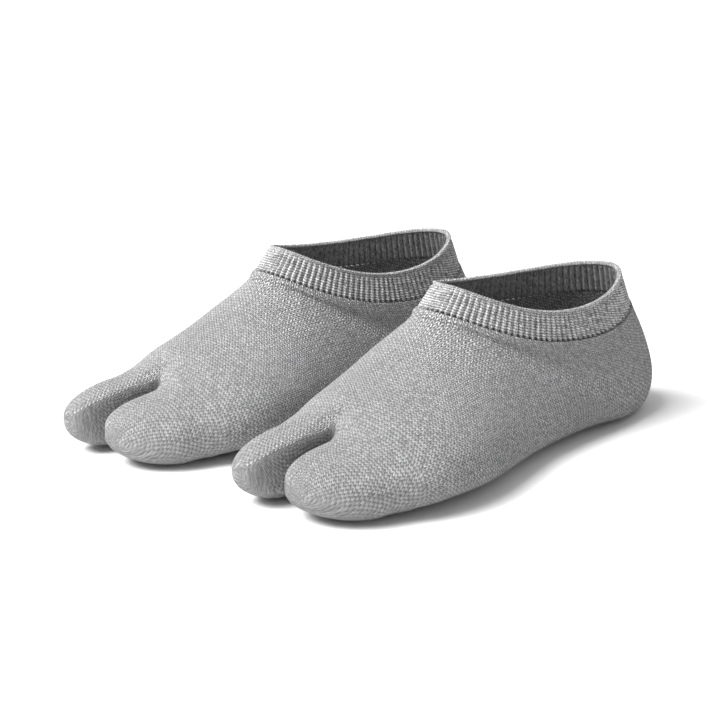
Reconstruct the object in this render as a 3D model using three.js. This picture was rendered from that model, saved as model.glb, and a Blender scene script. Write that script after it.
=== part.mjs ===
// A pair of low-cut split-toe socks, knitted cloth, filled out and standing side by side.
//
// Millimetres. +Z is up, the soles lie on z = 0, the toes point to -Y and the four-toe pocket of
// each sock is on its +X side. Each sock has two pieces: the foot, knitted in one with its heel
// and both toe pockets, and the ribbed cuff that is linked to it 0.3 mm above the foot's edge.
//
// The foot is a fan of sections. Each section is a plane that holds the X direction. It runs from
// a point on the ridge of the instep to a point under the sole or behind the heel, so the fan
// turns from upright at the toes to level at the cuff. At the crotch of the toes the section
// splits into two closed pockets that share one line, the bottom of the slit between them.
import * as THREE from 'three';

// ---- Driving dimensions -------------------------------------------------------------------

const FOOT_WALL = 1.8;            // knitted cloth of the foot
const CUFF_WALL = 2.4;            // ribbed cloth of the cuff, measured over the ribs
const LINKING_GAP = 0.3;          // between the foot's edge and the cuff's edge
const CUFF_SET_IN = 0.4;          // how far the cuff lies inside the foot's skin at the seam
const SOLE_PRESS = 0.8;           // how far the sole is pressed flat by what it stands on
const PRESS_REACH = 25;           // height at which the press has died out
const ANKLE_ALONG = 122;          // distance from the heel that sits at y = 0 of a sock

// Where each sock stands, how far it is turned about +Z and how it differs from the table's size
const SOCKS = [
  { name: 'near', x: 0, y: 0, turn: 0, wide: 1, long: 1, high: 1 },
  { name: 'far', x: -102, y: -6, turn: -2.6, wide: 0.92, long: 0.99, high: 1.01 },
];

// One row for each section, a whole number of steps apart. "along" is the distance forward of
// the heel, "up" the height, "x" the sideways place, "outer" and "inner" the half widths on the
// four-toe side and the big-toe side. "belly" is how high the widest point lies, as a part of
// the section's height, and the two powers say how square it is above and below that point.
const SECTION_COLUMNS = [
  'ridgeAlong', 'ridgeUp', 'soleAlong', 'soleUp', 'ridgeX', 'soleX',
  'outer', 'inner', 'belly', 'ridgePower', 'solePower',
];
const SECTIONS = namedRows(SECTION_COLUMNS, [
  [222, 29, 227.5, 1, -7.5, -9, 42, 33, 0.46, 2.2, 2.4],          // toes, only shapes the slit
  [198, 34.5, 200.5, 0, -7.5, -8, 54, 34.5, 0.39, 2.1, 2.5],      // crotch of the toes
  [185, 40, 176.5, 0, -9.5, -7.5, 58.5, 35.5, 0.38, 2.1, 2.5],    // ball
  [171, 42.5, 151, 0, -12.5, -6, 57, 37, 0.38, 2.2, 2.5],         // waist
  [157, 45.5, 123.5, 0, -15, -4.5, 50.5, 38.5, 0.39, 2.3, 2.5],   // instep
  [144.5, 50, 92, 0, -17.5, -3.5, 44, 38.5, 0.41, 2.3, 2.4],      // arch
  [134, 55.5, 54, 0, -17.5, -2.5, 41, 37.5, 0.44, 2.3, 2.2],      // under the heel
  [129, 60, 11, 0, -17, 0, 39, 36.5, 0.47, 2.2, 2.1],             // corner of the heel
  [128.5, 62, -0.5, 19.5, -16.5, 2, 35.5, 35.5, 0.49, 2.1, 2.2],  // back of the heel
  [126.5, 64.5, 15, 54.5, -15, 3, 29.5, 33.5, 0.51, 2.1, 2.2],    // linking seam of the cuff
  [118, 75.5, 21.5, 71, -13.5, 4.5, 24, 31.5, 0.52, 2, 2.1],      // rim
]);
const FIRST_KNOT = -1;            // the knot of the first row
const CROTCH_KNOT = 0;
const SEAM_KNOT = 8;
const RIM_KNOT = 9;

// The toe pockets. "slitX" and "outerX" are the sides at the crotch and "top" is its height.
// Each of these runs forward to the tip on an arc, and "arcs" gives the power of each arc: 2 is
// an ellipse, and a higher power stays straight for longer.
const POCKETS = {
  bigToe: {
    side: -1, slitX: -8.6, outerX: -36.5, top: 30, tipX: -23, tipAlong: 241.5, tipUp: 18,
    arcs: { slit: 3.4, outer: 2.4, top: 2.3, sole: 2.7 },
  },
  fourToes: {
    side: 1, slitX: -6.4, outerX: 42, top: 27.5, tipX: 8.5, tipAlong: 239.5, tipUp: 16,
    arcs: { slit: 2.8, outer: 2, top: 2.4, sole: 2.6 },
  },
};
const POCKET_BELLY = 0.45;
const POCKET_POWER = { ridge: 2.2, sole: 2.4, slit: 5 };
const SLIT_EDGE = THREE.MathUtils.degToRad(50);    // how far round the slit wall reaches
const SKIN_BLEND = 20;            // length over which the foot's skin turns into the pockets'
const SLIT_BLEND = 10;            // the same for the two walls of the slit
const LIP = 0.25;                 // part of the skin, beside the slit, that follows its walls

// The soft furrow in the instep that runs back from the crotch, and the same under the sole. It
// is wide on the four-toe side and steep on the big-toe side, where it widens as it runs back.
const FURROW = { depth: 3, length: 0.6, wide: 6, steep: 4, underPart: 0.35 };

// How far the sides of the cuff dip below the line from its front to its back
const DIP = { outer: 13, inner: 7, start: 3, end: 8 };

// ---- Facets -------------------------------------------------------------------------------

const FACETS = {
  round: 40,                      // points round the foot
  gather: 0.35,                   // how much they crowd towards the furrow and the sole
  gatherEnd: 3,                   // the knot from which they are evenly turned
  foot: [0, 0.2, 0.45, 0.8, 1.4, 2.1, 2.9, 3.7, 4.4, 5, 5.5, 5.9, 6.3, 6.7, 7.1, 7.5],
  slit: 4,                        // points across a slit wall, between its two edges
  pocket: [0.12, 0.24, 0.36, 0.48, 0.6, 0.72, 0.83, 0.93],
  cuffRound: 40,
  cuffRises: [0.5],               // parts of the cuff's height between its edge and its rim
  rimTurns: [0, 60, 120, 180],
};

// ---- Small helpers ------------------------------------------------------------------------

function namedRows(columns, rows) {
  return rows.map((row) => Object.fromEntries(columns.map((column, i) => [column, row[i]])));
}

function smoothStep(value) {
  const s = Math.min(Math.max(value, 0), 1);
  return s * s * (3 - 2 * s);
}

// Rises from 0 to 1 on a quarter circle, steepest at its start
function roundStep(value) {
  const s = Math.min(Math.max(value, 0), 1);
  return Math.sqrt(s * (2 - s));
}

function mix(a, b, part) {
  return a + (b - a) * part;
}

// A smooth curve through evenly spaced values, read at any place between them
function smoothThrough(values, place) {
  const i = Math.min(Math.max(Math.floor(place), 0), values.length - 2);
  const s = place - i;
  const slopeAt = (k) => {
    if (k === 0) return values[1] - values[0];
    if (k === values.length - 1) return values[k] - values[k - 1];
    return (values[k + 1] - values[k - 1]) / 2;
  };
  return (2 * s ** 3 - 3 * s ** 2 + 1) * values[i]
    + (s ** 3 - 2 * s ** 2 + s) * slopeAt(i)
    + (3 * s ** 2 - 2 * s ** 3) * values[i + 1]
    + (s ** 3 - s ** 2) * slopeAt(i + 1);
}

// The sole is pressed flat where it would reach below the surface
function pressed(up) {
  const press = SOLE_PRESS * Math.min(Math.max(1 - up / PRESS_REACH, 0), 1);
  return Math.max(up - press, 0);
}

// ---- Sections -----------------------------------------------------------------------------

function sectionAt(knot) {
  const place = knot - FIRST_KNOT;
  const entries = SECTION_COLUMNS.map((column) => {
    return [column, smoothThrough(SECTIONS.map((row) => row[column]), place)];
  });
  return Object.fromEntries(entries);
}

// A point of a section's outline. The angle is 0 on the ridge and runs to the outer side. A
// pocket's section has a squarer upper corner on its slit side.
function outlinePoint(section, angle) {
  const across = Math.sin(angle);
  const upward = Math.cos(angle);
  const ridgePower = Math.sign(across) === section.slitSide ? section.slitPower : section.ridgePower;
  const power = upward >= 0 ? ridgePower : section.solePower;
  const halfWidth = across >= 0 ? section.outer : section.inner;
  const rise = Math.abs(upward) ** (2 / power);
  const height = upward >= 0
    ? section.belly + (1 - section.belly) * rise
    : section.belly - section.belly * rise;
  return {
    x: Math.sign(across) * halfWidth * Math.abs(across) ** (2 / power)
      + mix(section.soleX, section.ridgeX, height),
    along: mix(section.soleAlong, section.ridgeAlong, height),
    up: mix(section.soleUp, section.ridgeUp, height),
  };
}

// A point of the foot's or the cuff's outer skin
function footPoint(knot, angle) {
  const section = sectionAt(knot);
  const point = outlinePoint(section, angle);
  const fade = knot < CROTCH_KNOT ? 1 : smoothStep((FURROW.length - knot) / FURROW.length);
  const steep = mix(FURROW.steep, FURROW.wide, smoothStep(knot / FURROW.length));
  const width = point.x > section.ridgeX ? FURROW.wide : steep;
  const sideways = Math.exp(-(((point.x - section.ridgeX) / width) ** 2));
  const above = Math.sqrt(Math.max(Math.cos(angle), 0));
  const below = Math.sqrt(Math.max(-Math.cos(angle), 0));
  point.up -= FURROW.depth * fade * sideways * above;
  point.up += FURROW.depth * FURROW.underPart * fade * sideways * below;
  const dip = Math.sin(angle) >= 0 ? DIP.outer : DIP.inner;
  point.up -= dip * smoothStep((knot - DIP.start) / (DIP.end - DIP.start)) * Math.sin(angle) ** 2;
  point.up = pressed(point.up);
  return point;
}

// The angle of one of the facets' points round the foot
function turnOf(knot, i) {
  const even = 2 * Math.PI * i / FACETS.round;
  const gather = FACETS.gather * (1 - smoothStep(knot / FACETS.gatherEnd));
  return even - gather * Math.sin(2 * even);
}

// ---- Toe pockets --------------------------------------------------------------------------

const CROTCH = sectionAt(CROTCH_KNOT);
const NOTCH_TOP = footPoint(CROTCH_KNOT, 0);
const NOTCH_SOLE = footPoint(CROTCH_KNOT, Math.PI);

// How much of a pocket's width or height is left at this part of its reach
function arcLeft(reach, power) {
  return Math.max(1 - reach ** power, 0) ** (1 / power);
}

// One ring of a pocket, from the top of the slit over the outer side to the sole of the slit and
// back up the slit wall. "part" runs from 0 at the crotch to 1 at the tip.
function pocketRing(pocket, part) {
  const start = CROTCH.ridgeAlong;
  const reach = Math.sin(part * Math.PI / 2);
  const along = mix(start, pocket.tipAlong, reach);
  const slitX = mix(pocket.tipX, pocket.slitX, arcLeft(reach, pocket.arcs.slit));
  const outerX = mix(pocket.tipX, pocket.outerX, arcLeft(reach, pocket.arcs.outer));
  const top = mix(pocket.tipUp, pocket.top, arcLeft(reach, pocket.arcs.top));
  const sole = mix(pocket.tipUp, 0, arcLeft(reach, pocket.arcs.sole));
  const middle = (slitX + outerX) / 2;
  const halfWidth = Math.abs(outerX - slitX) / 2;
  const section = {
    ridgeAlong: along, ridgeUp: top, soleAlong: along, soleUp: sole, ridgeX: middle, soleX: middle,
    outer: halfWidth, inner: halfWidth, belly: POCKET_BELLY,
    ridgePower: POCKET_POWER.ridge, solePower: POCKET_POWER.sole,
    slitSide: -pocket.side, slitPower: POCKET_POWER.slit,
  };
  const skinPart = smoothStep((along - start) / SKIN_BLEND);
  const slitPart = roundStep((along - start) / SLIT_BLEND);
  const virtualKnot = -(along - start) / (SECTIONS[0].ridgeAlong - start);
  const ring = [];
  const halfRound = FACETS.round / 2;
  for (let i = 0; i <= halfRound; i += 1) {
    const angle = turnOf(CROTCH_KNOT, i);
    const round = mix(-SLIT_EDGE, Math.PI + SLIT_EDGE, i / halfRound);
    const own = outlinePoint(section, pocket.side * round);
    const shared = footPoint(Math.max(virtualKnot, FIRST_KNOT), pocket.side * angle);
    if (virtualKnot < FIRST_KNOT) shared.along = along;
    const fromLip = smoothStep(Math.min(i, halfRound - i) / (halfRound * LIP));
    ring.push(blendPoints(shared, own, mix(slitPart, skinPart, fromLip)));
  }
  for (let i = 1; i <= FACETS.slit; i += 1) {
    const down = i / (FACETS.slit + 1);
    const angle = mix(Math.PI - SLIT_EDGE, SLIT_EDGE, down);
    const own = outlinePoint(section, -pocket.side * angle);
    const shared = blendPoints(NOTCH_SOLE, NOTCH_TOP, down);
    shared.along = along;
    ring.push(blendPoints(shared, own, slitPart));
  }
  return ring.map((point) => ({ ...point, up: pressed(point.up) }));
}

function blendPoints(a, b, part) {
  return { x: mix(a.x, b.x, part), along: mix(a.along, b.along, part), up: mix(a.up, b.up, part) };
}

// ---- Cloth --------------------------------------------------------------------------------

// In a sock's own frame: x to the four-toe side, y away from the toes, z up
function toVector(point) {
  return new THREE.Vector3(point.x, ANKLE_ALONG - point.along, point.up);
}

class Skin {
  constructor() {
    this.points = [];
    this.triangles = [];
  }

  add(point) {
    this.points.push(point);
    return this.points.length - 1;
  }

  addRing(points) {
    return points.map((point) => this.add(point));
  }

  // Joins two closed rings of as many points, the first one nearer the toes
  join(front, back) {
    front.forEach((start, i) => {
      const next = (i + 1) % front.length;
      this.triangles.push(start, front[next], back[next]);
      this.triangles.push(start, back[next], back[i]);
    });
  }

  close(ring, pole) {
    ring.forEach((start, i) => this.triangles.push(pole, ring[(i + 1) % ring.length], start));
  }

  normals() {
    const geometry = new THREE.BufferGeometry().setFromPoints(this.points);
    geometry.setIndex(this.triangles);
    geometry.computeVertexNormals();
    const normal = geometry.getAttribute('normal');
    return this.points.map((_, i) => new THREE.Vector3().fromBufferAttribute(normal, i));
  }

  // A closed wall of this thickness, with the skin outside and the ring as its open edge. The
  // cut of that edge lies along the outward directions, one for each point of the ring.
  thicken(thickness, edge, outwards) {
    const normals = this.normals();
    edge.forEach((index, i) => normals[index].copy(outwards[i]));
    const count = this.points.length;
    const outerTriangles = [...this.triangles];
    this.points.slice().forEach((point, i) => {
      this.add(point.clone().addScaledVector(normals[i], -thickness));
    });
    for (let i = 0; i < outerTriangles.length; i += 3) {
      const [a, b, c] = outerTriangles.slice(i, i + 3);
      this.triangles.push(a + count, c + count, b + count);
    }
    this.join(edge, edge.map((index) => index + count));
    return this;
  }

  geometry() {
    const geometry = new THREE.BufferGeometry().setFromPoints(this.points);
    geometry.setIndex(this.triangles);
    geometry.computeVertexNormals();
    return geometry;
  }
}

function footRing(knot) {
  const ring = [];
  for (let i = 0; i < FACETS.round; i += 1) {
    ring.push(toVector(footPoint(knot, turnOf(knot, i))));
  }
  return ring;
}

// Adds one toe pocket to the foot's skin, starting from the crotch ring and the slit's line
function addPocket(skin, pocket, crotchRing, slitLine) {
  const halfRound = FACETS.round / 2;
  const shared = [];
  for (let i = 0; i <= halfRound; i += 1) {
    const around = (pocket.side * i + FACETS.round) % FACETS.round;
    shared.push(crotchRing[around]);
  }
  let previous = [...shared, ...slitLine];
  const rings = FACETS.pocket.map((part) => skin.addRing(pocketRing(pocket, part).map(toVector)));
  for (const ring of rings) {
    joinTurned(skin, ring, previous, pocket.side);
    previous = ring;
  }
  const tip = new THREE.Vector3();
  previous.forEach((index) => tip.addScaledVector(skin.points[index], 1 / previous.length));
  tip.y = ANKLE_ALONG - pocket.tipAlong;
  const pole = skin.add(tip);
  skin.close(pocket.side > 0 ? previous : [...previous].reverse(), pole);
}

// The rings of the big-toe pocket run the other way round, so their facets are turned over
function joinTurned(skin, front, back, side) {
  if (side > 0) {
    skin.join(front, back);
  } else {
    skin.join([...front].reverse(), [...back].reverse());
  }
}

function makeFoot() {
  const skin = new Skin();
  const rings = [...FACETS.foot, SEAM_KNOT].map((knot) => skin.addRing(footRing(knot)));
  for (let i = 1; i < rings.length; i += 1) {
    skin.join(rings[i - 1], rings[i]);
  }
  const slitLine = [];
  for (let i = 1; i <= FACETS.slit; i += 1) {
    const point = blendPoints(NOTCH_SOLE, NOTCH_TOP, i / (FACETS.slit + 1));
    slitLine.push(skin.add(toVector({ ...point, along: CROTCH.ridgeAlong, up: pressed(point.up) })));
  }
  addPocket(skin, POCKETS.bigToe, rings[0], slitLine);
  addPocket(skin, POCKETS.fourToes, rings[0], slitLine);
  const outwards = rings[0].map((_, i) => seamFrame(2 * Math.PI * i / FACETS.round).outward);
  return skin.thicken(FOOT_WALL, rings[rings.length - 1], outwards).geometry();
}

// The cuff is a straight band from the seam to the rim, with a round top
function makeCuff() {
  const columns = [];
  for (let i = 0; i < FACETS.cuffRound; i += 1) {
    columns.push(cuffColumn(2 * Math.PI * i / FACETS.cuffRound));
  }
  const skin = new Skin();
  const rings = columns[0].map((_, k) => skin.addRing(columns.map((column) => column[k])));
  rings.forEach((ring, k) => skin.join(ring, rings[(k + 1) % rings.length]));
  return skin.geometry();
}

// The seam's point at one angle, the way up to the rim from it and the way out of the cloth
function seamFrame(angle) {
  const seam = toVector(footPoint(SEAM_KNOT, angle));
  const rim = toVector(footPoint(RIM_KNOT, angle));
  const step = 0.01;
  const onward = toVector(footPoint(SEAM_KNOT, angle + step)).sub(seam).normalize();
  const rise = rim.clone().sub(seam);
  const height = rise.length();
  rise.normalize();
  const outward = new THREE.Vector3().crossVectors(onward, rise).normalize();
  return { seam, rise, height, outward };
}

// The points of the cuff's wall at one angle: up its outside, over the rim and down its inside
function cuffColumn(angle) {
  const { seam, rise, height, outward } = seamFrame(angle);
  const at = (up, depth) => {
    return seam.clone().addScaledVector(rise, up).addScaledVector(outward, -depth);
  };
  const radius = CUFF_WALL / 2;
  const outside = [LINKING_GAP, ...FACETS.cuffRises.map((part) => part * height)];
  const column = outside.map((up) => at(up, CUFF_SET_IN));
  for (const turn of FACETS.rimTurns) {
    const bend = THREE.MathUtils.degToRad(turn);
    const up = height - radius + radius * Math.sin(bend);
    column.push(at(up, CUFF_SET_IN + radius - radius * Math.cos(bend)));
  }
  for (const up of outside.reverse()) {
    column.push(at(up, CUFF_SET_IN + CUFF_WALL));
  }
  return column;
}

// ---- The pair -----------------------------------------------------------------------------

const knit = new THREE.MeshStandardMaterial({ color: 0xb9bbbd, roughness: 0.95, metalness: 0 });
const rib = new THREE.MeshStandardMaterial({ color: 0xaeb0b3, roughness: 0.95, metalness: 0 });

const pair = new THREE.Group();
const footGeometry = makeFoot();
const cuffGeometry = makeCuff();
for (const sock of SOCKS) {
  const stand = new THREE.Group();
  stand.position.set(sock.x, sock.y, 0);
  stand.rotation.z = THREE.MathUtils.degToRad(sock.turn);
  stand.scale.set(sock.wide, sock.long, sock.high);
  const foot = new THREE.Mesh(footGeometry, knit);
  foot.name = `${sock.name}_foot`;
  const cuff = new THREE.Mesh(cuffGeometry, rib);
  cuff.name = `${sock.name}_cuff`;
  stand.add(foot, cuff);
  pair.add(stand);
}

// The origin is under the middle of the pair
pair.updateMatrixWorld(true);
const middle = new THREE.Box3().setFromObject(pair, true).getCenter(new THREE.Vector3());
pair.position.set(-middle.x, -middle.y, 0);

export default pair;
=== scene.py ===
"""A pair of low-cut split-toe socks in heather grey knit, filled out and standing side by side.

Each sock has a foot, knitted in one with its heel and its two toe pockets, and a ribbed cuff,
linked to the foot's open edge. Metres, +Z up, toes towards -Y. The tables are in millimetres and
are turned into metres as the points are made.
"""
import math

import bpy
import numpy as np
from bpy.props import FloatProperty, FloatVectorProperty, IntProperty, PointerProperty
from bpy.types import Operator, Panel, PropertyGroup
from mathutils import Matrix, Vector


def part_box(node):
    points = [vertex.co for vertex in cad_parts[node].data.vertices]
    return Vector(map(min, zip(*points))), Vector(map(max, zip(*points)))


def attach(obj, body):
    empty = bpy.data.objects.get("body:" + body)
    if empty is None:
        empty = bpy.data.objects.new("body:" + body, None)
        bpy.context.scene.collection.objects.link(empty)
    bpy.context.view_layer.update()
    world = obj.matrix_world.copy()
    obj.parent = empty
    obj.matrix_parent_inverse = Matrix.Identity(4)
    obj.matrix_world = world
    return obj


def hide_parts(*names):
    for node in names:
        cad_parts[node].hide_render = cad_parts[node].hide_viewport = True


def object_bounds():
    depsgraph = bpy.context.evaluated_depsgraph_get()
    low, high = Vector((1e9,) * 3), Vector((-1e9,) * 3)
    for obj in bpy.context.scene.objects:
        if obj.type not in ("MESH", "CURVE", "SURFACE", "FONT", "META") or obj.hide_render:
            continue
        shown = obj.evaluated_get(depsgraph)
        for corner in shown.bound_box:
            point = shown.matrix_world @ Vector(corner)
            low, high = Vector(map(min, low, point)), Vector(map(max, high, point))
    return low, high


bl_info = {
    "name": "Split-toe sock pair",
    "version": (1, 0, 0),
    "blender": (4, 5, 0),
    "location": "3D View > Sidebar > Socks",
    "description": "Makes a pair of knitted split-toe socks with ribbed cuffs",
    "category": "Add Mesh",
}

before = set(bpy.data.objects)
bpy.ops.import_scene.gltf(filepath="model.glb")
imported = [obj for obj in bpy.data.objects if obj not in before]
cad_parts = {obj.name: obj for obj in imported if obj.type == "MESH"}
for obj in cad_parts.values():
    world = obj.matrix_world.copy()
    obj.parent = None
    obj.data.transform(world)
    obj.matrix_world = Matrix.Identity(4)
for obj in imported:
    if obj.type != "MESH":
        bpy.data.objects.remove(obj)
CAD_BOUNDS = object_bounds()

MM = 0.001
ANKLE_ALONG = 122       # distance from the heel that sits at y = 0 of a sock
CUFF_SET_IN = 0.4       # how far the cuff lies inside the foot's skin at the seam
LINKING_GAP = 0.3       # between the foot's edge and the cuff's edge
SOLE_PRESS = 0.8        # how far the sole is pressed flat by what it stands on
PRESS_REACH = 25        # height at which the press has died out

# ---- The shape of a sock ----------------------------------------------------------------------

# How far each sock is turned about +Z, in degrees, and how it differs from the table's size
SOCK_COLUMNS = ("name", "turn", "wide", "long", "high")
SOCKS = [
    ("near", 0, 1, 1, 1),
    ("far", -2.6, 0.92, 0.99, 1.01),
]

# One row for each section of the foot, a whole number of steps apart. "along" is the distance
# forward of the heel, "up" the height, "x" the sideways place, "outer" and "inner" the half
# widths on the four-toe side and the big-toe side. "belly" is how high the widest point lies, as
# a part of the section's height, and the two powers say how square it is above and below it.
SECTION_COLUMNS = (
    "ridge_along", "ridge_up", "sole_along", "sole_up", "ridge_x", "sole_x",
    "outer", "inner", "belly", "ridge_power", "sole_power",
)
SECTIONS = np.array([
    (222, 29, 227.5, 1, -7.5, -9, 42, 33, 0.46, 2.2, 2.4),          # toes, only shapes the slit
    (198, 34.5, 200.5, 0, -7.5, -8, 54, 34.5, 0.39, 2.1, 2.5),      # crotch of the toes
    (185, 40, 176.5, 0, -9.5, -7.5, 58.5, 35.5, 0.38, 2.1, 2.5),    # ball
    (171, 42.5, 151, 0, -12.5, -6, 57, 37, 0.38, 2.2, 2.5),         # waist
    (157, 45.5, 123.5, 0, -15, -4.5, 50.5, 38.5, 0.39, 2.3, 2.5),   # instep
    (144.5, 50, 92, 0, -17.5, -3.5, 44, 38.5, 0.41, 2.3, 2.4),      # arch
    (134, 55.5, 54, 0, -17.5, -2.5, 41, 37.5, 0.44, 2.3, 2.2),      # under the heel
    (129, 60, 11, 0, -17, 0, 39, 36.5, 0.47, 2.2, 2.1),             # corner of the heel
    (128.5, 62, -0.5, 19.5, -16.5, 2, 35.5, 35.5, 0.49, 2.1, 2.2),  # back of the heel
    (126.5, 64.5, 15, 54.5, -15, 3, 29.5, 33.5, 0.51, 2.1, 2.2),    # linking seam of the cuff
    (118, 75.5, 21.5, 71, -13.5, 4.5, 24, 31.5, 0.52, 2, 2.1),      # rim
], dtype=float)
FIRST_KNOT = -1         # the knot of the first row
SEAM_KNOT = 8
RIM_KNOT = 9

# The toe pockets. "slit_x" and "outer_x" are the sides at the crotch and "top" is its height.
# Each runs forward to the tip on an arc with its own power: 2 is an ellipse, and a higher power
# stays straight for longer.
POCKETS = {
    "big_toe": {
        "side": -1, "slit_x": -8.6, "outer_x": -36.5, "top": 30,
        "tip_x": -23, "tip_along": 241.5, "tip_up": 18,
        "arcs": {"slit": 3.4, "outer": 2.4, "top": 2.3, "sole": 2.7},
    },
    "four_toes": {
        "side": 1, "slit_x": -6.4, "outer_x": 42, "top": 27.5,
        "tip_x": 8.5, "tip_along": 239.5, "tip_up": 16,
        "arcs": {"slit": 2.8, "outer": 2, "top": 2.4, "sole": 2.6},
    },
}
POCKET_BELLY = 0.45
POCKET_POWER = {"ridge": 2.2, "sole": 2.4, "slit": 5}
SLIT_EDGE = math.radians(50)      # how far round the slit wall reaches
SKIN_BLEND = 20                   # length over which the foot's skin turns into the pockets'
SLIT_BLEND = 10                   # the same for the two walls of the slit
LIP = 0.25                        # part of the skin, beside the slit, that follows its walls

# The soft furrow in the instep that runs back from the crotch, and the same under the sole. It
# is wide on the four-toe side and steep on the big-toe side, where it widens as it runs back.
FURROW = {"depth": 3, "length": 0.6, "wide": 6, "steep": 4, "under_part": 0.35}

# How far the sides of the cuff dip below the line from its front to its back
DIP = {"outer": 13, "inner": 7, "start": 3, "end": 8}

# Soft creases placed on the foot. Each runs straight between two places, a knot and an
# angle in degrees from the ridge, and lifts the cloth by "lift" or sinks it where that is less
# than 0. "knots" and "turn" are the half widths of the crease along and round the foot.
CREASE_COLUMNS = ("knot_a", "angle_a", "knot_b", "angle_b", "knots", "turn", "lift")
CREASES = [
    (7.6, -180, 7.6, 180, 0.3, 25, 0.55),       # the foot swells under the cuff
    (7.2, 108, 6.4, 124, 0.2, 8, -0.35),        # the turned heel
    (7.2, -108, 6.4, -124, 0.2, 8, -0.35),
]

# The ribs of the cuff: how square they are, the part of the cuff's height below the rim over
# which they fade, and the height of a row as a part of a row of the foot
RIB_POWER = 0.7
RIB_FADE = 0.14
RIB_COURSE = 0.62

# ---- How finely the cloth is made -------------------------------------------------------------

FOOT_ROUND = 168                  # points round the foot
GATHER = 0.3                      # how much they crowd towards the furrow and the sole
GATHER_END = 3                    # the knot from which they are evenly turned
FOOT_RINGS = 150                  # rings from the crotch to the linking seam
POCKET_RINGS = 46
TIP_CROWD = 1.4                   # how much the rings crowd towards a toe tip
TIP_START = 0.995                 # where the last ring lies, and the round end of the toe starts
SLIT_POINTS = 26                  # points across a slit wall, between its two edges
POINTS_A_RIB = 8

# The rings, the points round each, and the rings of a pocket that find the middle of a foot
OUTLINE_RINGS = 60
OUTLINE_ROUND = 120
OUTLINE_POCKET_RINGS = 30

# ---- The look of the knit ---------------------------------------------------------------------

LEG_SHIFT = 0.25                  # puts the leg of a stitch, not the gap between two, on the ridge

# The first value darkens the yarn as painted shade: 1 on the foot, darker on the cuff's ribs.
# "slant" is how far a leg climbs in courses for each wale, and "relief" is the height of the
# stitches.
PLAIN_KNIT = {"shade_tone": 1, "slant": 1.3, "relief": 3.4 * MM}
# painted shade: the cuff's ribs use the foot's yarn made darker
RIB_KNIT = {"shade_tone": 0.82, "slant": 0.9, "relief": 0.6 * MM}

# The shape of a stitch: "leg_power" rounds its two legs, "gap" is the height left between them,
# "rise" the part of the height that comes and goes along a leg, and "thin" and "spread" the
# fullness of the thinnest leg and how much fuller the thickest one is.
STITCH = {"leg_power": 0.5, "gap": 0.35, "rise": 0.85, "thin": 0.2, "spread": 1}

# How far the stitches stray from their places, sideways in wales and along in courses. Each
# noise is stretched along one of the two, and has its own scale.
STRAY_SIDEWAYS = {"amount": 0.8, "stretch": 0.35, "scale": 0.9}
STRAY_ALONG = {"amount": 0.6, "stretch": 0.6, "scale": 1.3}

# Noise in the yarn: its scale for each metre, its detail and its roughness
FIBRE = (1900, 3, 0.7)
FLECK = (620, 2, 0.55)
CLOUD = (38, 3, 0.5)
FIBRE_SHARE = 0.55                # how much of the heather comes from fibres, and not flecks
FIBRE_RELIEF = 0.55               # how much the fibres stand out, as a part of a stitch
BUMP_STRENGTH = 0.85

# Colour ramps, each from a place with a colour to another place with another
HEATHER_ENDS = (0.36, 0.64)
# Painted shade between the stitches: the colour goes darker the deeper a place lies
PAINTED_SHADE_RAMP = (0, (0.03, 0.03, 0.031), 0.66, (1, 1, 1))
WASH_RAMP = (0.3, (0.9, 0.9, 0.905), 0.7, (1, 1, 1))

YARN_SURFACE = {
    "Roughness": 0.95,
    "Specular IOR Level": 0.2,
    "Sheen Weight": 0.15,
    "Sheen Roughness": 0.55,
}

# The floor is a shade duller in soft clouds, so many of them to a metre
FLOOR_DULL = 0.99
FLOOR_CLOUDS = 3
FLOOR_SURFACE = {"Roughness": 0.9, "Specular IOR Level": 0.1}
CUFF_RISES = 12                   # rings up each side of the cuff
RIM_TURNS = 9                     # rings over its rim


def pair_settings():
    return bpy.context.scene.sock_pair


# ---- Helpers ----------------------------------------------------------------------------------

def named_rows(columns, rows):
    return [dict(zip(columns, row)) for row in rows]


def smooth_step(value):
    s = np.clip(value, 0, 1)
    return s * s * (3 - 2 * s)


def round_step(value):
    """Rises from 0 to 1 on a quarter circle, steepest at its start."""
    s = np.clip(value, 0, 1)
    return np.sqrt(s * (2 - s))


def mix(a, b, part):
    return a + (b - a) * part


def smooth_through(rows, place):
    """A smooth curve through evenly spaced rows of values, read at any places between them."""
    low = np.clip(np.floor(place).astype(int), 0, len(rows) - 2)
    s = (place - low)[..., None]
    slopes = np.gradient(rows, axis=0)
    return (
        (2 * s**3 - 3 * s**2 + 1) * rows[low]
        + (s**3 - 2 * s**2 + s) * slopes[low]
        + (3 * s**2 - 2 * s**3) * rows[low + 1]
        + (s**3 - s**2) * slopes[low + 1]
    )


def pressed(up):
    """The sole is pressed flat where it would reach below the surface."""
    press = SOLE_PRESS * np.clip(1 - up / PRESS_REACH, 0, 1)
    return np.maximum(up - press, 0)


def section_at(knot):
    values = smooth_through(SECTIONS, np.asarray(knot, float) - FIRST_KNOT)
    return dict(zip(SECTION_COLUMNS, np.moveaxis(values, -1, 0)))


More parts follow.
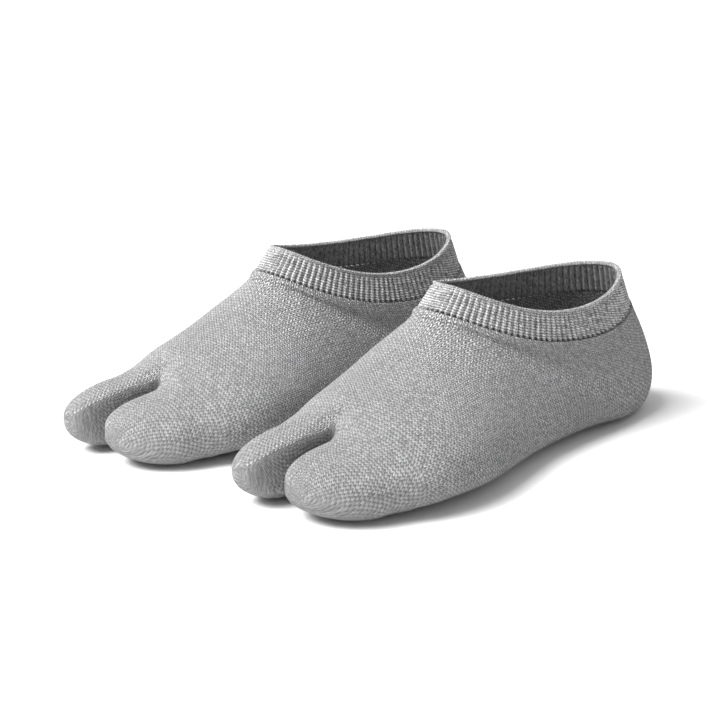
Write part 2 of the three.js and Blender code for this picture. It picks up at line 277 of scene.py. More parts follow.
def outline_point(section, angle):
    """A point of a section's outline. The angle is 0 on the ridge and runs to the outer side. A
    pocket's section has a squarer upper corner on its slit side."""
    across = np.sin(angle)
    upward = np.cos(angle)
    above = upward >= 0
    ridge_power = section["ridge_power"]
    if "slit_side" in section:
        on_slit = np.sign(across) == section["slit_side"]
        ridge_power = np.where(on_slit, section["slit_power"], ridge_power)
    power = np.where(above, ridge_power, section["sole_power"])
    half_width = np.where(across >= 0, section["outer"], section["inner"])
    rise = np.abs(upward) ** (2 / power)
    belly = section["belly"]
    height = np.where(above, belly + (1 - belly) * rise, belly - belly * rise)
    x = np.sign(across) * half_width * np.abs(across) ** (2 / power)
    x = x + mix(section["sole_x"], section["ridge_x"], height)
    along = mix(section["sole_along"], section["ridge_along"], height)
    up = mix(section["sole_up"], section["ridge_up"], height)
    return np.stack(np.broadcast_arrays(x, along, up), -1)


def foot_point(knot, angle):
    """Points of the outer skin of the foot and the cuff, as x, along and up."""
    knot, angle = np.broadcast_arrays(np.asarray(knot, float), np.asarray(angle, float))
    section = section_at(knot)
    point = outline_point(section, angle)
    fade = np.where(knot < 0, 1, smooth_step((FURROW["length"] - knot) / FURROW["length"]))
    steep = mix(FURROW["steep"], FURROW["wide"], smooth_step(knot / FURROW["length"]))
    width = np.where(point[..., 0] > section["ridge_x"], FURROW["wide"], steep)
    sideways = np.exp(-(((point[..., 0] - section["ridge_x"]) / width) ** 2))
    above = np.sqrt(np.maximum(np.cos(angle), 0))
    below = np.sqrt(np.maximum(-np.cos(angle), 0))
    point[..., 2] -= FURROW["depth"] * fade * sideways * above
    point[..., 2] += FURROW["depth"] * FURROW["under_part"] * fade * sideways * below
    dip = np.where(np.sin(angle) >= 0, DIP["outer"], DIP["inner"])
    dip_part = smooth_step((knot - DIP["start"]) / (DIP["end"] - DIP["start"]))
    point[..., 2] -= dip * dip_part * np.sin(angle) ** 2
    point[..., 2] = pressed(point[..., 2])
    return point


def turn_of(knot, i):
    """The angle of a point round the foot. The points crowd towards the furrow in the toes."""
    even = 2 * math.pi * i / FOOT_ROUND
    gather = GATHER * (1 - smooth_step(knot / GATHER_END))
    return even - gather * np.sin(2 * even)


def arc_left(reach, power):
    """How much of a pocket's width or height is left at this part of its reach."""
    return np.maximum(1 - reach**power, 0) ** (1 / power)


def pocket_points(pocket, part):
    """Rings of a toe pocket, from the top of the slit over the outer side, under the sole and
    back up the slit wall. "part" runs from 0 at the crotch to 1 at the tip."""
    side, arcs = pocket["side"], pocket["arcs"]
    start = SECTIONS[1][0]
    reach = np.sin(part * math.pi / 2)[:, None]
    along = mix(start, pocket["tip_along"], reach)
    slit_x = mix(pocket["tip_x"], pocket["slit_x"], arc_left(reach, arcs["slit"]))
    outer_x = mix(pocket["tip_x"], pocket["outer_x"], arc_left(reach, arcs["outer"]))
    half_width = np.abs(outer_x - slit_x) / 2
    section = {
        "ridge_along": along,
        "sole_along": along,
        "ridge_up": mix(pocket["tip_up"], pocket["top"], arc_left(reach, arcs["top"])),
        "sole_up": mix(pocket["tip_up"], 0, arc_left(reach, arcs["sole"])),
        "ridge_x": (slit_x + outer_x) / 2,
        "sole_x": (slit_x + outer_x) / 2,
        "outer": half_width,
        "inner": half_width,
        "belly": POCKET_BELLY,
        "ridge_power": POCKET_POWER["ridge"],
        "sole_power": POCKET_POWER["sole"],
        "slit_side": -side,
        "slit_power": POCKET_POWER["slit"],
    }
    skin_part = smooth_step((along - start) / SKIN_BLEND)[..., None]
    slit_part = round_step((along - start) / SLIT_BLEND)[..., None]
    virtual_knot = -(along - start) / (SECTIONS[0][0] - start)

    half_round = np.arange(FOOT_ROUND // 2 + 1)[None, :]
    round_part = half_round / (FOOT_ROUND // 2)
    shared = foot_point(np.maximum(virtual_knot, FIRST_KNOT), side * turn_of(0, half_round))
    shared[..., 1] = np.where(virtual_knot < FIRST_KNOT, along, shared[..., 1])
    own = outline_point(section, side * mix(-SLIT_EDGE, math.pi + SLIT_EDGE, round_part))
    from_lip = smooth_step(np.minimum(round_part, 1 - round_part) / LIP)[..., None]
    skin = mix(shared, own, mix(slit_part, skin_part, from_lip))

    down = (np.arange(1, SLIT_POINTS + 1) / (SLIT_POINTS + 1))[None, :]
    own = outline_point(section, -side * mix(math.pi - SLIT_EDGE, SLIT_EDGE, down))
    shared = np.broadcast_to(slit_line(down[0]), own.shape).copy()
    shared[..., 1] = along
    wall = mix(shared, own, slit_part)
    ring = np.concatenate([skin, wall], axis=1)
    ring[..., 2] = pressed(ring[..., 2])
    return ring


def slit_line(down):
    """The line at the bottom of the slit, shared by both pockets, from the sole to the top."""
    sole, top = foot_point(0, math.pi), foot_point(0, 0)
    line = mix(sole, top, np.asarray(down)[:, None])
    line[:, 1] = SECTIONS[1][0]
    return line


def to_metres(point):
    """In a sock's own frame: x to the four-toe side, y away from the toes, z up."""
    x, along, up = np.moveaxis(np.asarray(point, float), -1, 0)
    return np.stack([x, ANKLE_ALONG - along, up], -1) * MM


def crease_lift(knot, angle):
    """How far the creases lift the cloth at each place, in millimetres."""
    degrees = np.degrees(angle)
    lift = np.zeros(np.broadcast(knot, angle).shape)
    for crease in named_rows(CREASE_COLUMNS, CREASES):
        run_knot = (crease["knot_b"] - crease["knot_a"]) / crease["knots"]
        run_turn = (crease["angle_b"] - crease["angle_a"]) / crease["turn"]
        knots = (knot - crease["knot_a"]) / crease["knots"]
        turns = (degrees - crease["angle_a"]) / crease["turn"]
        length = run_knot**2 + run_turn**2
        part = np.clip((knots * run_knot + turns * run_turn) / length, 0, 1)
        away = (knots - part * run_knot) ** 2 + (turns - part * run_turn) ** 2
        lift = lift + crease["lift"] * np.exp(-away)
    return lift


# ---- Cloth ------------------------------------------------------------------------------------

class Cloth:
    """Points in metres and faces, each corner with its place in the knit: wale and course."""

    def __init__(self):
        self.points = []
        self.faces = []
        self.corners = []
        self.count = 0

    def add(self, points):
        points = np.asarray(points, float)
        flat = points.reshape(-1, 3)
        self.points.append(flat)
        indices = np.arange(self.count, self.count + len(flat)).reshape(points.shape[:-1])
        self.count += len(flat)
        return indices

    def grid(self, indices, knit, turned=False):
        """Joins rows of points by quads. The rows are open: a closed ring repeats its first."""
        a, b = indices[:-1, :-1], indices[:-1, 1:]
        c, d = indices[1:, 1:], indices[1:, :-1]
        order = [a, d, c, b] if turned else [a, b, c, d]
        quads = np.stack(order, -1).reshape(-1, 4)
        a, b = knit[:-1, :-1], knit[:-1, 1:]
        c, d = knit[1:, 1:], knit[1:, :-1]
        order = [a, d, c, b] if turned else [a, b, c, d]
        self.faces.extend(quads.tolist())
        self.corners.extend(np.stack(order, -2).reshape(-1, 4, 2).tolist())

    def fan(self, pole, ring, knit_pole, knit_ring, turned=False):
        for i in range(len(ring) - 1):
            face = [pole, ring[i], ring[i + 1]]
            corner = [knit_pole, knit_ring[i], knit_ring[i + 1]]
            if turned:
                face = face[::-1]
                corner = corner[::-1]
            self.faces.append([int(index) for index in face])
            self.corners.append([[float(value) for value in place] for place in corner])

    def mesh(self, name):
        mesh = bpy.data.meshes.new(name)
        points = np.concatenate(self.points)
        mesh.from_pydata(points.tolist(), [], self.faces)
        layer = mesh.uv_layers.new(name="Knit")
        places = np.array([place for face in self.corners for place in face], dtype=np.float32)
        layer.data.foreach_set("uv", places.ravel())
        mesh.polygons.foreach_set("use_smooth", [True] * len(mesh.polygons))
        mesh.validate(clean_customdata=False)
        mesh.update()
        return mesh


def closed(rings):
    return np.concatenate([rings, rings[:, :1]], axis=1)


def run_round(rings):
    """The distance round its ring to each point, the closing point included."""
    steps = np.linalg.norm(np.diff(closed(rings), axis=1), axis=-1)
    return np.concatenate([np.zeros((len(rings), 1)), np.cumsum(steps, axis=1)], axis=1)


def share_round(rings):
    """How far round its ring each point lies, from 0 to 1, the closing point included."""
    run = run_round(rings)
    return run / run[:, -1:]


def run_length(rings):
    """The distance from the first ring along each line of points, in millimetres."""
    steps = np.linalg.norm(np.diff(rings, axis=0), axis=-1) / MM
    return np.concatenate([np.zeros((1, rings.shape[1])), np.cumsum(steps, axis=0)])


def vertex_normals(points, faces):
    mesh = bpy.data.meshes.new("normals")
    mesh.from_pydata(points.tolist(), [], faces)
    mesh.update()
    normals = np.empty(len(points) * 3, dtype=np.float32)
    mesh.vertex_normals.foreach_get("vector", normals)
    bpy.data.meshes.remove(mesh)
    return normals.reshape(-1, 3).astype(float)


def placed(points, sock):
    """Turns and scales a sock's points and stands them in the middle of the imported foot's box."""
    low, high = sock["box"]
    scaled = points * np.array([sock["wide"], sock["long"], sock["high"]])
    turn = math.radians(sock["turn"])
    cos, sin = math.cos(turn), math.sin(turn)
    x = cos * scaled[:, 0] - sin * scaled[:, 1]
    y = sin * scaled[:, 0] + cos * scaled[:, 1]
    x += (low[0] + high[0]) / 2 - sock["middle"][0]
    y += (low[1] + high[1]) / 2 - sock["middle"][1]
    return np.stack([x, y, scaled[:, 2]], -1)


def sock_stands():
    """The two socks, each with the middle of its own foot before it is stood in its place."""
    knots = np.linspace(0, SEAM_KNOT, OUTLINE_RINGS)[:, None]
    angles = np.linspace(0, 2 * math.pi, OUTLINE_ROUND)[None, :]
    parts = np.linspace(0, 1, OUTLINE_POCKET_RINGS)
    rings = [foot_point(knots, angles).reshape(-1, 3)]
    rings += [pocket_points(pocket, parts).reshape(-1, 3) for pocket in POCKETS.values()]
    outline = to_metres(np.concatenate(rings))
    socks = named_rows(SOCK_COLUMNS, SOCKS)
    for sock in socks:
        sock["box"] = (Vector(), Vector())
        sock["middle"] = (0, 0)
        there = placed(outline, sock)
        middle = (there.min(axis=0) + there.max(axis=0)) / 2
        sock["middle"] = (middle[0], middle[1])
        sock["box"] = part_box(f"{sock['name']}_foot")
    return socks


def add_piece(name, cloth, material):
    piece = bpy.data.objects.new(name, cloth.mesh(name))
    bpy.context.scene.collection.objects.link(piece)
    piece.data.materials.append(material)
    return piece


# ---- The foot ---------------------------------------------------------------------------------

def foot_skin(settings):
    """The outer skin of a foot in its own frame, with its open edge's indices."""
    cloth = Cloth()
    wales = settings.wale_count
    course = settings.course_height / MM
    knots = np.linspace(0, SEAM_KNOT, FOOT_RINGS + 1)
    angles = turn_of(knots[:, None], np.arange(FOOT_ROUND)[None, :])
    signed_angles = np.where(angles > math.pi, angles - 2 * math.pi, angles)
    skin = to_metres(foot_point(knots[:, None], angles))
    indices = cloth.add(skin)
    lifts = [crease_lift(knots[:, None], signed_angles).ravel()]
    turns = share_round(skin) * wales
    knit = np.stack([turns + LEG_SHIFT, closed(run_length(skin)) / course], -1)
    cloth.grid(closed(indices), knit)

    line = to_metres(slit_line(np.arange(1, SLIT_POINTS + 1) / (SLIT_POINTS + 1)))
    slit = cloth.add(line)
    lifts.append(np.zeros(len(line)))
    for pocket in POCKETS.values():
        count = add_pocket(cloth, pocket, indices[0], slit, skin[0], line, turns[0], course)
        lifts.append(np.zeros(count))
    return cloth, indices[-1], np.concatenate(lifts)


def add_pocket(cloth, pocket, crotch, slit, crotch_points, slit_points, turns, course):
    """Adds a toe pocket to the foot's skin and returns how many points it took."""
    side = pocket["side"]
    around = (side * np.arange(FOOT_ROUND // 2 + 1)) % FOOT_ROUND
    first = np.concatenate([crotch[around], slit])
    first_points = np.concatenate([crotch_points[around], slit_points])
    steps = np.linspace(0, 1, POCKET_RINGS + 2)[1:-1]
    parts = TIP_START * (1 - (1 - steps) ** TIP_CROWD)
    rings = to_metres(pocket_points(pocket, parts))
    before = cloth.count
    indices = np.concatenate([first[None, :], cloth.add(rings)])
    points = np.concatenate([first_points[None], rings])
    tip = rings[-1].mean(axis=0)
    tip[1] = (ANKLE_ALONG - pocket["tip_along"]) * MM
    pole = int(cloth.add(tip[None, :])[0])
    skin_turns = turns[around] if side > 0 else turns[-1] - turns[around]
    across = pocket_wales(points, skin_turns, side)
    knit = np.stack([across, -closed(run_length(points)) / course], -1)
    cloth.grid(closed(indices), knit, turned=side > 0)
    end = knit[-1].mean(axis=0)
    last = np.append(indices[-1], indices[-1][0])
    cloth.fan(pole, last, end, knit[-1], turned=side > 0)
    return cloth.count - before


def pocket_wales(points, skin_turns, side):
    """The wales of a toe pocket. They start where the foot's wales end and keep their width."""
    run = run_round(points)
    half_round = FOOT_ROUND // 2
    width = run[0, half_round] / skin_turns[-1]
    slit_turns = skin_turns[-1] + (run[0, half_round + 1:] - run[0, half_round]) / width
    first = np.concatenate([skin_turns, slit_turns])
    return side * (first + (run - run[0]) / width) + LEG_SHIFT


def make_foot(sock, settings, material):
    cloth, edge, lift = foot_skin(settings)
    points = np.concatenate(cloth.points)
    normals = vertex_normals(points, cloth.faces)
    points = points + normals * lift[:, None] * MM
    points[:, 2] = np.maximum(points[:, 2], 0)
    inner = points - normals * settings.foot_wall
    shell = Cloth()
    shell.faces = list(cloth.faces)
    shell.corners = list(cloth.corners)
    count = len(points)
    shell.add(points)
    shell.add(inner)
    shell.faces += [[index + count for index in face[::-1]] for face in cloth.faces]
    shell.corners += [corner[::-1] for corner in cloth.corners]
    rim = np.stack([np.append(edge, edge[0]), np.append(edge, edge[0]) + count])
    places = np.stack([np.arange(FOOT_ROUND + 1) / FOOT_ROUND * settings.wale_count] * 2)
    shell.grid(rim, np.stack([places, np.zeros_like(places)], -1))
    shell.points = [placed(np.concatenate(shell.points), sock)]
    piece = add_piece(f"{sock['name']}_foot_knit", shell, material)
    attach(piece, "root")
    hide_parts(f"{sock['name']}_foot")
    return piece


# ---- The cuff ---------------------------------------------------------------------------------

def seam_frame(angle):
    """The seam's points, the way up to the rim, the height and the way out of the cloth."""
    seam = to_metres(foot_point(SEAM_KNOT, angle))
    rim = to_metres(foot_point(RIM_KNOT, angle))
    onward = to_metres(foot_point(SEAM_KNOT, angle + 0.01)) - seam
    onward /= np.linalg.norm(onward, axis=-1, keepdims=True)
    rise = rim - seam
    height = np.linalg.norm(rise, axis=-1, keepdims=True)
    rise /= height
    outward = np.cross(onward, rise)
    outward /= np.linalg.norm(outward, axis=-1, keepdims=True)
    return seam, rise, height, outward


def even_angles(count):
    """Angles round the cuff whose points are evenly spaced along the seam."""
    fine = np.linspace(0, 2 * math.pi, 1441)
    seam = to_metres(foot_point(SEAM_KNOT, fine))
    run = np.concatenate([[0], np.cumsum(np.linalg.norm(np.diff(seam, axis=0), axis=-1))])
    return np.interp(np.arange(count) / count * run[-1], run, fine)


def make_cuff(sock, settings, material):
    """A ribbed band from the seam to the rim. The ribs are real, inside and out, and the rim is
    a round cord of small beads."""
    ribs = settings.rib_count
    count = ribs * POINTS_A_RIB
    angles = even_angles(count)
    seam, rise, height, outward = seam_frame(angles)
    phase = np.arange(count) / POINTS_A_RIB * 2 * math.pi
    wave = np.cos(phase)
    rib = np.sign(wave) * np.abs(wave) ** RIB_POWER * settings.rib_depth / 2
    bead = np.cos(2 * phase) * settings.rim_bead
    wall = settings.cuff_wall
    radius = wall / 2
    rows = []
    parts = np.linspace(0, 1, CUFF_RISES)
    top = height[:, 0] - radius
    notch = LINKING_GAP * MM + settings.link_notch * (1 - wave) / 2
    for part in parts:
        up = mix(notch, top, part)
        ribbing = rib * smooth_step((1 - part) / RIB_FADE)
        depth = CUFF_SET_IN * MM + settings.rib_depth / 2 - ribbing
        rows.append((up, depth))
    for turn in np.linspace(0, math.pi, RIM_TURNS + 2)[1:-1]:
        round_radius = radius + (bead + settings.rim_swell) * math.sin(turn)
        up = top + round_radius * math.sin(turn)
        depth = CUFF_SET_IN * MM + radius - round_radius * math.cos(turn)
        rows.append((up, np.broadcast_to(depth, (count,))))
    for part in parts[::-1]:
        up = mix(notch, top, part)
        ribbing = rib * smooth_step((1 - part) / RIB_FADE)
        depth = CUFF_SET_IN * MM + wall - settings.rib_depth / 2 - ribbing
        rows.append((up, depth))
    rings = np.stack([
        seam + rise * np.asarray(up)[:, None] - outward * np.asarray(depth)[:, None]
        for up, depth in rows
    ])
    cloth = Cloth()
    indices = cloth.add(rings)
    loop = np.concatenate([indices, indices[:1]])
    course = settings.course_height / MM * RIB_COURSE
    heights = run_length(np.concatenate([rings, rings[:1]])) / course
    turns = np.arange(count + 1) / POINTS_A_RIB + 0.5
    turns = np.broadcast_to(turns, (len(loop), count + 1))
    cloth.grid(closed(loop), np.stack([turns, closed(heights)], -1))
    cloth.points = [placed(np.concatenate(cloth.points), sock)]
    piece = add_piece(f"{sock['name']}_cuff_rib", cloth, material)
    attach(piece, "root")
    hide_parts(f"{sock['name']}_cuff")
    return piece


# ---- Materials --------------------------------------------------------------------------------

def new_material(name):
    material = bpy.data.materials.new(name)
    material.use_nodes = True
    return material, material.node_tree.nodes, material.node_tree.links


def math_node(tree, operation, a, b=None):
    node = tree.nodes.new("ShaderNodeMath")
    node.operation = operation
    for socket, value in zip(node.inputs, (a, b)):
        if value is None:
            continue
        if isinstance(value, (int, float)):
            socket.default_value = value
        else:
            tree.links.new(value, socket)
    return node.outputs[0]


def knit_place(tree):
    """The wale and the course at each place, from the knit's own map."""
    uv = tree.nodes.new("ShaderNodeUVMap")
    uv.uv_map = "Knit"
    split = tree.nodes.new("ShaderNodeSeparateXYZ")
    tree.links.new(uv.outputs["UV"], split.inputs[0])
    return split.outputs["X"], split.outputs["Y"]


def noise(tree, vector, scale, detail, roughness=0.6):
    node = tree.nodes.new("ShaderNodeTexNoise")
    node.inputs["Scale"].default_value = scale
    node.inputs["Detail"].default_value = detail
    node.inputs["Roughness"].default_value = roughness
    tree.links.new(vector, node.inputs["Vector"])
    return node.outputs["Fac"]


def combine(tree, x, y):
    node = tree.nodes.new("ShaderNodeCombineXYZ")
    tree.links.new(x, node.inputs[0])
    tree.links.new(y, node.inputs[1])
    return node.outputs[0]


def stitch_height(tree, wale, course, slant):
    """The height of plain knit: each stitch is two legs that lean together like a V, and no two
    stitches are quite alike."""
    across = math_node(tree, "SUBTRACT", math_node(tree, "FRACT", wale), 0.5)
    lean = math_node(tree, "ABSOLUTE", across)
    phase = math_node(tree, "ADD", course, math_node(tree, "MULTIPLY", lean, slant))
    rung = raised_wave(tree, phase)
    double = math_node(tree, "MULTIPLY", wale, 2)
    legs = raised_wave(tree, math_node(tree, "ADD", double, 0.5))
    ridge = math_node(tree, "POWER", legs, STITCH["leg_power"])
    own = tree.nodes.new("ShaderNodeTexWhiteNoise")
    own.noise_dimensions = "2D"
    stitch = combine(tree, math_node(tree, "FLOOR", double), math_node(tree, "ROUND", phase))
    tree.links.new(stitch, own.inputs["Vector"])
    fuller = math_node(tree, "MULTIPLY", own.outputs["Value"], STITCH["spread"])
    leg = math_node(tree, "MULTIPLY", rung, math_node(tree, "ADD", fuller, STITCH["thin"]))
    rise = math_node(tree, "MULTIPLY", leg, STITCH["rise"])
    body = math_node(tree, "ADD", rise, 1 - STITCH["rise"])
    return math_node(tree, "MULTIPLY", math_node(tree, "ADD", ridge, STITCH["gap"]), body)


def raised_wave(tree, value):
    """A wave from 0 to 1 that is highest at whole numbers."""
    wave = math_node(tree, "COSINE", math_node(tree, "MULTIPLY", value, 2 * math.pi))
    return math_node(tree, "MULTIPLY", math_node(tree, "ADD", wave, 1), 0.5)


def stray(tree, vector, amount, scale):
    """How far each place is moved by noise, either way."""
    centred = math_node(tree, "SUBTRACT", noise(tree, vector, scale, 2), 0.5)
    return math_node(tree, "MULTIPLY", centred, amount)


def colour_ramp(tree, value, low, low_colour, high, high_colour):
    ramp = tree.nodes.new("ShaderNodeValToRGB")
    first, last = ramp.color_ramp.elements
    first.position = low
    first.color = (*low_colour, 1)
    last.position = high
    last.color = (*high_colour, 1)
    tree.links.new(value, ramp.inputs[0])
    return ramp.outputs[0]


def multiplied(tree, colour, by):
    node = tree.nodes.new("ShaderNodeMix")
    node.data_type = "RGBA"
    node.blend_type = "MULTIPLY"
    node.inputs["Factor"].default_value = 1
    tree.links.new(colour, node.inputs["A"])
    tree.links.new(by, node.inputs["B"])
    return node.outputs["Result"]


def set_surface(shader, values):
    for name, value in values.items():
        shader.inputs[name].default_value = value


def yarn_material(name, settings, shade_tone, slant, relief):
    """Heather grey cotton yarn, knitted. The colour comes from the fibres, and painted shade makes
    it darker where a place lies deep between the stitches."""
    material, nodes, links = new_material(name)
    tree = material.node_tree
    shader = nodes["Principled BSDF"]
    wale, course = knit_place(tree)
    slow_course = math_node(tree, "MULTIPLY", course, STRAY_SIDEWAYS["stretch"])
    sideways = stray(tree, combine(tree, wale, slow_course),
                     STRAY_SIDEWAYS["amount"], STRAY_SIDEWAYS["scale"])
    slow_wale = math_node(tree, "MULTIPLY", wale, STRAY_ALONG["stretch"])
    along = stray(tree, combine(tree, slow_wale, course),
                  STRAY_ALONG["amount"], STRAY_ALONG["scale"])
    stitch_wale = math_node(tree, "ADD", wale, sideways)
    height = stitch_height(tree, stitch_wale, math_node(tree, "ADD", course, along), slant)

    place = nodes.new("ShaderNodeTexCoord").outputs["Object"]
    fibre = noise(tree, place, *FIBRE)
    fleck = noise(tree, place, *FLECK)
    cloud = noise(tree, place, *CLOUD)
    mixed = math_node(tree, "ADD", math_node(tree, "MULTIPLY", fibre, FIBRE_SHARE),
                      math_node(tree, "MULTIPLY", fleck, 1 - FIBRE_SHARE))
    low, high = HEATHER_ENDS
    heather = colour_ramp(tree, mixed, low, settings.dark_yarn, high, settings.light_yarn)
    # painted shade: darker where a place lies deep between the stitches
    depth = colour_ramp(tree, height, *PAINTED_SHADE_RAMP)
    low, low_colour, high, high_colour = WASH_RAMP
    # random cloudy tone of the yarn, multiplied by painted shade that darkens the cuff's ribs
    low_colour = [channel * shade_tone for channel in low_colour]
    high_colour = [channel * shade_tone for channel in high_colour]
    mottle_and_shade = colour_ramp(tree, cloud, low, low_colour, high, high_colour)
    colour = multiplied(tree, multiplied(tree, heather, depth), mottle_and_shade)
    links.new(colour, shader.inputs["Base Color"])

    surface = math_node(tree, "ADD", height, math_node(tree, "MULTIPLY", fibre, FIBRE_RELIEF))
    bump = nodes.new("ShaderNodeBump")
    bump.inputs["Strength"].default_value = BUMP_STRENGTH
    bump.inputs["Distance"].default_value = relief
    links.new(surface, bump.inputs["Height"])
    links.new(bump.outputs["Normal"], shader.inputs["Normal"])
    set_surface(shader, YARN_SURFACE)
    return material


def floor_material(settings):
    material, nodes, links = new_material("pale_floor")
    tree = material.node_tree
    shader = nodes["Principled BSDF"]
    place = nodes.new("ShaderNodeTexCoord").outputs["Object"]
    dull = [channel * FLOOR_DULL for channel in settings.floor_colour]
    cloudy = noise(tree, place, FLOOR_CLOUDS, 2)
    links.new(colour_ramp(tree, cloudy, 0, dull, 1, settings.floor_colour),
              shader.inputs["Base Color"])
    set_surface(shader, FLOOR_SURFACE)
    return material


# ---- Settings ---------------------------------------------------------------------------------

class SockPairSettings(PropertyGroup):
    foot_wall: FloatProperty(
        name="Foot cloth", description="Thickness of the plain knit of the foot",
        default=1.8 * MM, min=1 * MM, max=3 * MM, precision=4, unit="LENGTH",
    )
    cuff_wall: FloatProperty(
        name="Cuff cloth", description="Thickness of the cuff over its ribs",
        default=2.4 * MM, min=1 * MM, max=4 * MM, precision=4, unit="LENGTH",
    )
    wale_count: IntProperty(
        name="Wales round", description="Columns of stitches round the foot",
        default=120, min=60, max=300,
    )
    course_height: FloatProperty(
        name="Course height", description="Height of one row of stitches",
        default=2.0 * MM, min=0.5 * MM, max=4 * MM, precision=4, unit="LENGTH",
    )
    rib_count: IntProperty(
        name="Ribs round", description="Ribs round the cuff",
        default=92, min=30, max=200,
    )
    rib_depth: FloatProperty(
        name="Rib depth", description="Height of a rib over the groove beside it",
        default=1.2 * MM, min=0.1 * MM, max=2 * MM, precision=4, unit="LENGTH",
    )
    link_notch: FloatProperty(
        name="Linking notch", description="How far the cuff's edge rises between two ribs",
        default=1.0 * MM, min=0, max=3 * MM, precision=4, unit="LENGTH",
    )
    rim_swell: FloatProperty(
        name="Rim swell", description="How much thicker the rim is than the ribs below it",
        default=0.3 * MM, min=0, max=1 * MM, precision=5, unit="LENGTH",
    )
    rim_bead: FloatProperty(
        name="Rim bead", description="How far the beads of the rim stand out",
        default=0.24 * MM, min=0, max=1 * MM, precision=5, unit="LENGTH",
    )
    light_yarn: FloatVectorProperty(
        name="Light fibres", description="Colour of the light fibres of the yarn",
        default=(0.957, 0.952, 0.963), min=0, max=1, size=3, subtype="COLOR",
    )
    dark_yarn: FloatVectorProperty(
        name="Dark fibres", description="Colour of the dark fibres of the yarn",
        default=(0.503, 0.5, 0.507), min=0, max=1, size=3, subtype="COLOR",
    )
    floor_colour: FloatVectorProperty(
        name="Floor", description="Colour of the floor",
        default=(0.92, 0.92, 0.92), min=0, max=1, size=3, subtype="COLOR",
    )
    key_strength: FloatProperty(
        name="Key light", description="Strength of the soft key light",
        default=3.3, min=0, max=20,
    )
    toe_power: FloatProperty(
        name="Toe light", description="Power of the near light over the toes",
        default=5.5, min=0, max=100, unit="POWER",
    )
    sky_strength: FloatProperty(
        name="Sky", description="Strength of the even light from all round",
        default=0.52, min=0, max=3,
    )


# ---- Operators --------------------------------------------------------------------------------

class SOCKS_OT_feet(Operator):
    """Make the two knitted feet with their heels and toe pockets"""

    bl_idname = "socks.feet"
    bl_label = "Feet"

    def execute(self, context):
        settings = pair_settings()
        material = yarn_material("plain_knit_yarn", settings, **PLAIN_KNIT)
        for sock in sock_stands():
            piece = make_foot(sock, settings, material)
        return {"FINISHED"}


class SOCKS_OT_cuffs(Operator):
    """Make the two ribbed cuffs"""

    bl_idname = "socks.cuffs"
    bl_label = "Cuffs"

    def execute(self, context):
        settings = pair_settings()
        material = yarn_material("rib_knit_yarn", settings, **RIB_KNIT)
        for sock in sock_stands():
            piece = make_cuff(sock, settings, material)
        return {"FINISHED"}


class SOCKS_OT_studio(Operator):
    """Make the pale floor, the soft lights and the camera"""

    bl_idname = "socks.studio"
    bl_label = "Studio"

    def execute(self, context):
        settings = pair_settings()
        scene = bpy.context.scene
        make_floor(settings)
        make_lights(settings)
        scene.camera = make_camera()
        scene.view_settings.view_transform = "Standard"
        return {"FINISHED"}


# ---- Studio -----------------------------------------------------------------------------------

CAMERA_AZIMUTH = math.radians(43)
CAMERA_RISE = math.radians(16.93)
CAMERA_DISTANCE = 1.0983
CAMERA_LENS = 117.9               # millimetres, as is the sensor's width
SENSOR_WIDTH = 36
CAMERA_FAR = 100                  # metres
CAMERA_AIM = (-16.5 * MM, 1.85 * MM, 30 * MM)   # from the middle of the pair's footprint
FLOOR_SIZE = 16.0

# Where the lights are from the middle of the pair, in metres: left, away from the camera, and up
KEY_PLACE = (1, -0.5, 1.5)
KEY_SPREAD = math.radians(38)     # how wide the key light looks from the socks
TOE_LIGHT_PLACE = (0.45, -0.1, 0.5)
TOE_LIGHT_SIZE = 0.5


def view_axes():
    """Left, away and up as the camera sees them on the floor."""
    left = Vector((-math.cos(CAMERA_AZIMUTH), -math.sin(CAMERA_AZIMUTH), 0))
    away = Vector((-math.sin(CAMERA_AZIMUTH), math.cos(CAMERA_AZIMUTH), 0))
    return left, away, Vector((0, 0, 1))


def pair_middle():
    low, high = CAD_BOUNDS
    return Vector(((low[0] + high[0]) / 2, (low[1] + high[1]) / 2, low[2]))


def make_floor(settings):
    mesh = bpy.data.meshes.new("floor")
    half = FLOOR_SIZE / 2
    corners = [(-half, -half, 0), (half, -half, 0), (half, half, 0), (-half, half, 0)]
    mesh.from_pydata(corners, [], [(0, 1, 2, 3)])
    mesh.materials.append(floor_material(settings))
    floor = bpy.data.objects.new("floor", mesh)
    floor.location.z = CAD_BOUNDS[0][2]
    bpy.context.scene.collection.objects.link(floor)


def add_lamp(name, kind, from_middle, energy):
    """Hangs a lamp beside the pair, turned to shine at its middle."""
    place = pair_middle()
    for axis, distance in zip(view_axes(), from_middle):
        place = place + axis * distance
    light = bpy.data.lights.new(name, kind)
    light.energy = energy
    lamp = bpy.data.objects.new(name, light)
    lamp.location = place
    lamp.rotation_euler = (place - pair_middle()).to_track_quat("Z", "Y").to_euler()
    bpy.context.scene.collection.objects.link(lamp)
    return light


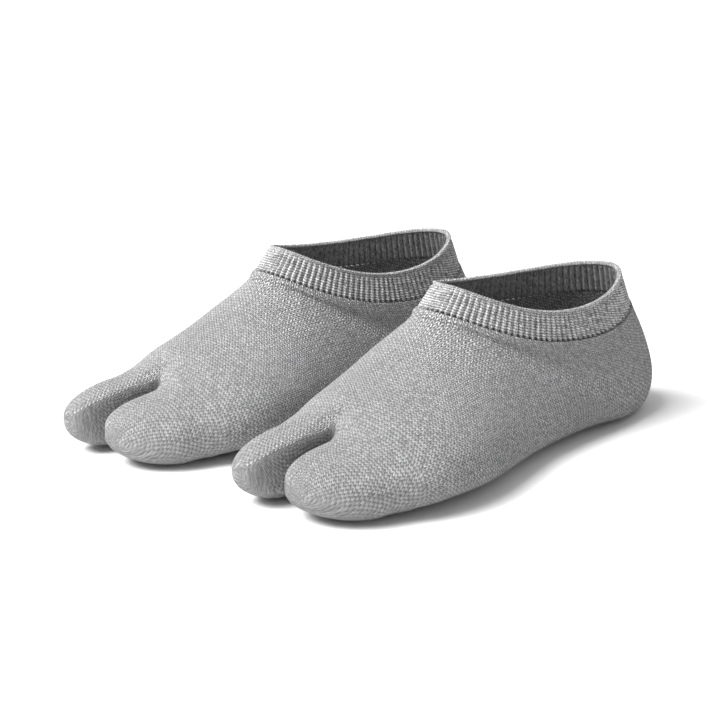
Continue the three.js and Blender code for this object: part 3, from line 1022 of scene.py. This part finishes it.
def make_lights(settings):
    """A wide key light from the left, and a near one that is strongest on the toes."""
    key = add_lamp("key", "SUN", KEY_PLACE, settings.key_strength)
    key.angle = KEY_SPREAD
    near = add_lamp("toe_light", "AREA", TOE_LIGHT_PLACE, settings.toe_power)
    near.shape = "DISK"
    near.size = TOE_LIGHT_SIZE
    world = bpy.data.worlds.new("even_sky")
    world.use_nodes = True
    background = world.node_tree.nodes["Background"]
    background.inputs["Color"].default_value = (1, 1, 1, 1)
    background.inputs["Strength"].default_value = settings.sky_strength
    bpy.context.scene.world = world


def make_camera():
    camera = bpy.data.cameras.new("camera")
    camera.lens = CAMERA_LENS
    camera.sensor_width = SENSOR_WIDTH
    camera.clip_end = CAMERA_FAR
    back = Vector((
        math.sin(CAMERA_AZIMUTH) * math.cos(CAMERA_RISE),
        -math.cos(CAMERA_AZIMUTH) * math.cos(CAMERA_RISE),
        math.sin(CAMERA_RISE),
    ))
    holder = bpy.data.objects.new("camera", camera)
    holder.location = pair_middle() + Vector(CAMERA_AIM) + back * CAMERA_DISTANCE
    holder.rotation_euler = (-back).to_track_quat("-Z", "Y").to_euler()
    bpy.context.scene.collection.objects.link(holder)
    return holder


# ---- Add-on -----------------------------------------------------------------------------------

class SOCKS_PT_pair(Panel):
    bl_idname = "SOCKS_PT_pair"
    bl_label = "Split-toe sock pair"
    bl_space_type = "VIEW_3D"
    bl_region_type = "UI"
    bl_category = "Socks"

    def draw(self, context):
        settings = pair_settings()
        for name in settings.__annotations__:
            self.layout.prop(settings, name)
        for operator in OPERATORS:
            self.layout.operator(operator.bl_idname)


OPERATORS = (SOCKS_OT_feet, SOCKS_OT_cuffs, SOCKS_OT_studio)
CLASSES = (SockPairSettings, *OPERATORS, SOCKS_PT_pair)


def register():
    for cls in CLASSES:
        bpy.utils.register_class(cls)
    bpy.types.Scene.sock_pair = PointerProperty(type=SockPairSettings)


def unregister():
    del bpy.types.Scene.sock_pair
    for cls in reversed(CLASSES):
        bpy.utils.unregister_class(cls)


def main():
    register()
    bpy.ops.socks.feet()
    bpy.ops.socks.cuffs()
    bpy.ops.socks.studio()


if __name__ == "__main__":
    main()
